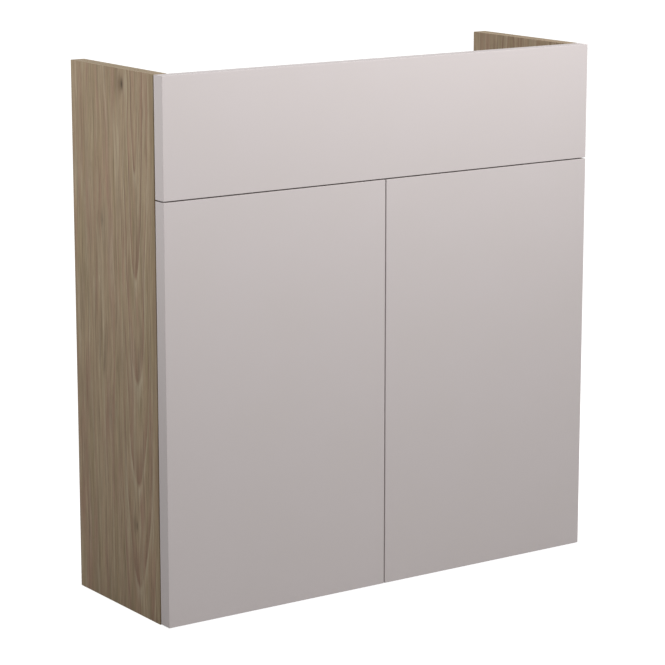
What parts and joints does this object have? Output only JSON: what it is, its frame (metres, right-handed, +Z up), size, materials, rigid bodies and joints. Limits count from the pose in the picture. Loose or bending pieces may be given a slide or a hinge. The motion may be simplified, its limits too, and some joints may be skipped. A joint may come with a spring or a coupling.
{
  "type": "bathroom base cabinet",
  "caption": "Slim bathroom base cabinet with oak-effect sides, a matt grey fixed fascia over a pair of handleless doors, and an open top for a basin.",
  "frame": {"origin": "middle of the footprint on the floor, under the carcass and the doors together", "axes": "+X to the right seen from the front, +Y to the wall, +Z up; the doors face -Y"},
  "size_m": [0.6, 0.2028, 0.628],
  "materials": {
    "oak_board": "greyish oak-effect facing on board, matt, vertical grain",
    "front_board": "smooth matt pearl grey foil on fibreboard",
    "beech": "bare turned beech",
    "nylon": "natural nylon, moulded",
    "clear_buffer": "clear soft polyurethane",
    "soft_tip": "dark soft plastic",
    "latch_plastic": "grey moulded acetal",
    "cast_zinc": "nickel-plated zinc casting, satin",
    "pressed_steel": "nickel-plated pressed steel",
    "zinc_plated_steel": "zinc-plated steel"
  },
  "bodies": {
    "root": {"base_dowels": "beech", "base_panel": "oak_board", "fascia_panel": "front_board", "fascia_screws": "zinc_plated_steel", "fascia_spacers": "nylon", "front_rail": "oak_board", "front_rail_dowels": "beech", "left_latch_housing": "latch_plastic", "left_latch_screws": "zinc_plated_steel", "left_lower_hinge_adjusters": "zinc_plated_steel", "left_lower_hinge_arm": "pressed_steel", "left_lower_hinge_plate": "cast_zinc", "left_lower_hinge_plate_screws": "zinc_plated_steel", "left_side_panel": "oak_board", "left_upper_hinge_adjusters": "zinc_plated_steel", "left_upper_hinge_arm": "pressed_steel", "left_upper_hinge_plate": "cast_zinc", "left_upper_hinge_plate_screws": "zinc_plated_steel", "rear_bottom_rail": "oak_board", "rear_rail_dowels": "beech", "rear_top_rail": "oak_board", "right_latch_housing": "latch_plastic", "right_latch_screws": "zinc_plated_steel", "right_lower_hinge_adjusters": "zinc_plated_steel", "right_lower_hinge_arm": "pressed_steel", "right_lower_hinge_plate": "cast_zinc", "right_lower_hinge_plate_screws": "zinc_plated_steel", "right_side_panel": "oak_board", "right_upper_hinge_adjusters": "zinc_plated_steel", "right_upper_hinge_arm": "pressed_steel", "right_upper_hinge_plate": "cast_zinc", "right_upper_hinge_plate_screws": "zinc_plated_steel"},
    "left_door": {"left_door_buffers": "clear_buffer", "left_door_panel": "front_board", "left_lower_hinge_cup": "cast_zinc", "left_lower_hinge_cup_screws": "zinc_plated_steel", "left_lower_hinge_pin": "zinc_plated_steel", "left_strike_plate": "pressed_steel", "left_upper_hinge_cup": "cast_zinc", "left_upper_hinge_cup_screws": "zinc_plated_steel", "left_upper_hinge_pin": "zinc_plated_steel"},
    "right_door": {"right_door_buffers": "clear_buffer", "right_door_panel": "front_board", "right_lower_hinge_cup": "cast_zinc", "right_lower_hinge_cup_screws": "zinc_plated_steel", "right_lower_hinge_pin": "zinc_plated_steel", "right_strike_plate": "pressed_steel", "right_upper_hinge_cup": "cast_zinc", "right_upper_hinge_cup_screws": "zinc_plated_steel", "right_upper_hinge_pin": "zinc_plated_steel"},
    "left_plunger": {"left_latch_plunger": "latch_plastic", "left_latch_plunger_tip": "soft_tip"},
    "right_plunger": {"right_latch_plunger": "latch_plastic", "right_latch_plunger_tip": "soft_tip"}
  },
  "joints": [
    {"name": "left_door_hinge", "type": "hinge", "parent": "root", "child": "left_door", "pos_m": [-0.29402, -0.0929, 0.2445], "axis": [0, 0, -1], "range_deg": [0, 95]},
    {"name": "right_door_hinge", "type": "hinge", "parent": "root", "child": "right_door", "pos_m": [0.29402, -0.0929, 0.2445], "axis": [0, 0, 1], "range_deg": [0, 95]},
    {"name": "left_plunger_slide", "type": "slide", "parent": "root", "child": "left_plunger", "axis": [0, -1, 0], "range_m": [0, 0.02]},
    {"name": "right_plunger_slide", "type": "slide", "parent": "root", "child": "right_plunger", "axis": [0, -1, 0], "range_m": [0, 0.02]}
  ],
  "couplings": [
    {"joint": "left_plunger_slide", "follows": "left_door_hinge", "m_per_rad": 0.012062},
    {"joint": "right_plunger_slide", "follows": "right_door_hinge", "m_per_rad": 0.012062}
  ]
}
